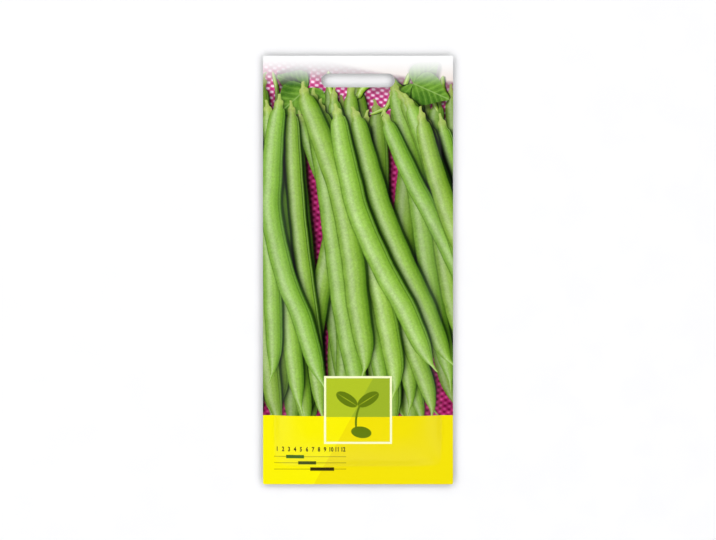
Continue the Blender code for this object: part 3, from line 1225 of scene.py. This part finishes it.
# %% [markdown]
# ## How far apart and how deep
#
# The last picture is a bed of soil with two plants and a seed in it. One measure line spans
# the plants and the other runs from the soil's top to the seed.

# %% Spacing picture
SOIL_TOP_MM = -30.0
SOIL_DEPTH_MM = 13.0
SOIL_MIDDLE_MM = -3.5
SOIL_HALF_MM = 26.5
PLANT_PLACES_MM = (-21.0, 1.0)
LONE_SEED_MM = 15.5
SEED_DEPTH_MM = 8.0
SPACE_LINE_MM = SOIL_TOP_MM - SOIL_DEPTH_MM - 4.0
DEPTH_LINE_MM = 26.5
LINE_HALF_MM = 0.14
LINE_END_HALF_MM = 1.1


def measure_line(picture, x, y, start, end):
    """A thin line between two points on a level or upright way, with a bar at both ends."""
    half_x, half_y = abs(end[0] - start[0]) / 2, abs(end[1] - start[1]) / 2
    middle = ((start[0] + end[0]) / 2, (start[1] + end[1]) / 2)
    line = rectangle(x, y, middle, max(half_x, LINE_HALF_MM), max(half_y, LINE_HALF_MM))
    picture = picture.mix(DARK_BROWN, line)
    bar = (LINE_HALF_MM, LINE_END_HALF_MM) if half_x else (LINE_END_HALF_MM, LINE_HALF_MM)
    for place in (start, end):
        picture = picture.mix(DARK_BROWN, rectangle(x, y, place, *bar))
    return picture


def spacing_picture(picture, x, y):
    """Two plants on a bed of soil, a seed in it, and a measure line for each distance."""
    middle = (SOIL_MIDDLE_MM, SOIL_TOP_MM - SOIL_DEPTH_MM / 2)
    picture = picture.mix(SOIL_COLOUR, card(x, y, middle, SOIL_HALF_MM, SOIL_DEPTH_MM / 2, 1.2))
    for place in PLANT_PLACES_MM:
        picture = sprout(picture, x, y, (place, SOIL_TOP_MM + 2.0), 0.8, SEED_COLOUR)
    deep = oval(x, y, (LONE_SEED_MM, SOIL_TOP_MM - SEED_DEPTH_MM), 3.4, 2.0, -8)
    picture = picture.mix(SEED_COLOUR, deep)
    left, right = ((place, SPACE_LINE_MM) for place in PLANT_PLACES_MM)
    picture = measure_line(picture, x, y, left, right)
    top, bottom = (DEPTH_LINE_MM, SOIL_TOP_MM), (DEPTH_LINE_MM, SOIL_TOP_MM - SEED_DEPTH_MM)
    return measure_line(picture, x, y, top, bottom)


print("plants", PLANT_PLACES_MM[1] - PLANT_PLACES_MM[0], "mm apart in the picture")

# %% [markdown]
# ## The back's finish
#
# The back is deep green, so that little light is thrown under the margins, with a white card
# printed on it that holds the four pictures. Seen from behind, x runs the other way, so the
# print is laid on minus x.

# %% Back print
BACK_DARK = ink(18, 46, 18)
BACK_LIGHT = ink(30, 64, 26)
CARD_DARK = ink(246, 245, 238)
CARD_LIGHT = ink(250, 249, 243)
CARD_MIDDLE_MM = (0.0, -11.0)
CARD_HALF_MM = (34.0, 72.0)
CARD_RADIUS_MM = 3.0
FOOTER_TOP_MM = -68.0


def back_finish():
    """The green ground, the card with its yellow foot, and the pictures on it."""
    material, shader, start = new_finish("printed_back_laminate")
    here = object_place(start)
    x, y = plan(here)
    x = x * -1
    ground = here.noise(0.16, 4.0, 0.6).ramp([(0.3, BACK_DARK), (0.7, BACK_LIGHT)])
    white = card(x, y, CARD_MIDDLE_MM, *CARD_HALF_MM, CARD_RADIUS_MM)
    paper = here.noise(0.7, 3.0).ramp([(0.3, CARD_DARK), (0.7, CARD_LIGHT)])
    footer = below(y, FOOTER_TOP_MM)
    picture = ground.mix(paper, white).mix(BAND_RIGHT, footer * white)
    for draw_part in (growth_tiles, month_grid, sun_and_drops, spacing_picture):
        picture = draw_part(picture, x, y)
    satin(shader, here, picture)
    return material


back_print = back_finish()
print("back print", len(back_print.node_tree.nodes), "nodes")

# %% [markdown]
# ## Both sheets
#
# The finished pieces take the places of the plain solids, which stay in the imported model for
# its collisions.

# %% Make the sheets
front = make_sheet("printed_front_sheet", front_outside, True, front_print, laminate_core)
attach(front, "root")
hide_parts("front_sheet")

back = make_sheet("printed_back_sheet", back_outside, False, back_print, laminate_core)
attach(back, "root")
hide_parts("back_sheet")

# %% [markdown]
# ## The months' numbers
#
# Numbers could be drawn by formulas too, but type is made of curves, and Blender has a
# typeface. Each number is a text object made into a mesh, and a row of them is joined into
# a thin film of ink. Its points are then set on the sheet's own height formula, so the ink
# follows the pillow.

# %% Ink numbers on the front
NUMBER_MM = 2.7
BOLDNESS = 0.036  # how far an outline is grown, as a share of the number's size
NARROWNESS = 0.74  # a number's width as a share of the typeface's
INK_THICKNESS = 0.03 * MM
INK_SINK = 0.01 * MM  # the ink's underside lies this deep in the film
WELD = 0.001 * MM  # points nearer than this become one, which closes the type's edges
INK_COLOUR = ink(34, 28, 6)
SPECK_LIGHTNESS = 1.3


def ink_finish(name, colour):
    """Printing ink: dark, slightly glossy, with faint specks where it is thin."""
    material, shader, start = new_finish(name)
    specks = object_place(start).noise(4.0, 2.0)
    lighter = (*(part * SPECK_LIGHTNESS for part in colour[:3]), 1.0)
    tint = specks.ramp([(0.35, colour), (0.75, lighter)])
    feed(shader, {"Base Color": tint, "Roughness": 0.4, "Specular IOR Level": FILM_SPECULAR})
    return material


def month_row(left, level, month_width, size):
    """The numbers 1 to 12, each over its month's middle, with their places in millimetres."""
    months = range(MONTHS)
    return [(str(month + 1), left + (month + 0.5) * month_width, level, size) for month in months]


def number_mesh(text, x, y, size):
    """One number as a flat mesh in plan, centred on x and y."""
    curve = bpy.data.curves.new("number", "FONT")
    curve.body = text
    curve.align_x = "CENTER"
    curve.align_y = "CENTER"
    curve.size = size
    curve.extrude = INK_THICKNESS / 2
    curve.resolution_u = 3
    curve.offset = size * BOLDNESS
    letter = bpy.data.objects.new("number", curve)
    letter.location = (x, y, 0)
    letter.scale.x = NARROWNESS
    bpy.context.scene.collection.objects.link(letter)
    bpy.context.view_layer.update()
    mesh = worked_out(letter)
    mesh.transform(letter.matrix_world)
    bpy.data.objects.remove(letter)
    bpy.data.curves.remove(curve)
    return mesh


def numbers(name, places, height_at, outward, material):
    """A row of numbers as one closed mesh. Formula: each point keeps its x and y, and its
    height is the sheet's at that place, plus its own within the ink's thickness. On the back,
    x and that thickness are turned over."""
    joined = bmesh.new()
    for text, x, y, size in places:
        mesh = number_mesh(text, x * MM, y * MM, size * MM)
        joined.from_mesh(mesh)
        bpy.data.meshes.remove(mesh)
    bmesh.ops.remove_doubles(joined, verts=joined.verts, dist=WELD)
    row = bpy.data.meshes.new(name)
    joined.to_mesh(row)
    joined.free()
    points = np.empty(len(row.vertices) * 3)
    row.vertices.foreach_get("co", points)
    points = points.reshape(-1, 3)
    points[:, 0] *= outward
    above = points[:, 2] + INK_THICKNESS / 2 - INK_SINK
    points[:, 2] = height_at(points[:, 0], points[:, 1]) + outward * above
    row.vertices.foreach_set("co", points.ravel())
    while row.uv_layers:  # the typeface's own, which no finish uses
        row.uv_layers.remove(row.uv_layers[0])
    row.shade_flat()
    row.materials.append(material)
    piece = bpy.data.objects.new(name, row)
    bpy.context.scene.collection.objects.link(piece)
    print(name, len(row.polygons), "faces")
    return piece


dark_ink = ink_finish("dark_printing_ink", INK_COLOUR)
front_places = month_row(CALENDAR_LEFT_MM, CALENDAR_TOP_MM, MONTH_MM, NUMBER_MM)
front_months = numbers("front_month_numbers", front_places, front_outside, 1, dark_ink)
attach(front_months, "root")

# %% [markdown]
# ## The back's numbers
#
# The back's months are the same row at another place. Its two distances, in centimetres,
# stand beside their measure lines.

# %% Ink numbers on the back
BACK_NUMBER_MM = 3.0
DISTANCE_NUMBER_MM = 4.2
NUMBER_GAP_MM = 4.0  # from a measure line to the middle of its number
plant_middle = sum(PLANT_PLACES_MM) / 2
seed_middle = SOIL_TOP_MM - SEED_DEPTH_MM / 2
grid_level = GRID_TOP_MM - GRID_ROW_MM / 2
back_places = month_row(GRID_LEFT_MM, grid_level, GRID_MONTH_MM, BACK_NUMBER_MM)
back_places.append(("8", plant_middle, SPACE_LINE_MM - NUMBER_GAP_MM, DISTANCE_NUMBER_MM))
back_places.append(("3", DEPTH_LINE_MM + NUMBER_GAP_MM, seed_middle, DISTANCE_NUMBER_MM))
back_numbers = numbers("back_numbers", back_places, back_outside, -1, dark_ink)
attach(back_numbers, "root")

# %% [markdown]
# ## The seeds
#
# They can't be seen while the packet is closed, and their shape is right as it is, so they
# stay as they came and only get a seed coat: cream, polished, with faint mottling.

# %% Seed coat
COAT_DARK = ink(214, 200, 166)
COAT_LIGHT = ink(240, 230, 204)
COAT_BUMP = 0.1
COAT_BUMP_DEPTH = 0.05 * MM


def seed_finish():
    """A polished seed coat: its tint and its gloss follow the same patches."""
    material, shader, start = new_finish("cream_seed_coat")
    here = object_place(start)
    patches = here.noise(0.45, 3.0)
    tint = patches.ramp([(0.35, COAT_DARK), (0.65, COAT_LIGHT)])
    rough = patches * 0.2 + 0.24
    pores = here.noise(5.0, 2.0).bump(COAT_BUMP, COAT_BUMP_DEPTH)
    feed(shader, {"Base Color": tint, "Roughness": rough, "Normal": pores})
    return material


seed_coat = seed_finish()
seeds = [node for name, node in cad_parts.items() if name.startswith("bean_seed")]
for seed in seeds:
    seed.material_slots[0].material = seed_coat
print(len(seeds), "seeds coated")

# %% [markdown]
# ## Both boxes, and the end
#
# Both boxes, of the solids and of the dressed packet, are given as the cell's result.
# The visual model must stay the size of the solids, so both boxes are written down to be
# compared.

# %% Write the sizes and finish
boxes = {"cad": cad_box, "visual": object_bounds()}
print("the dressed packet is", round(boxes["visual"][1][2] / MM, 2), "mm thick")
{name: [list(corner) for corner in box] for name, box in boxes.items()}
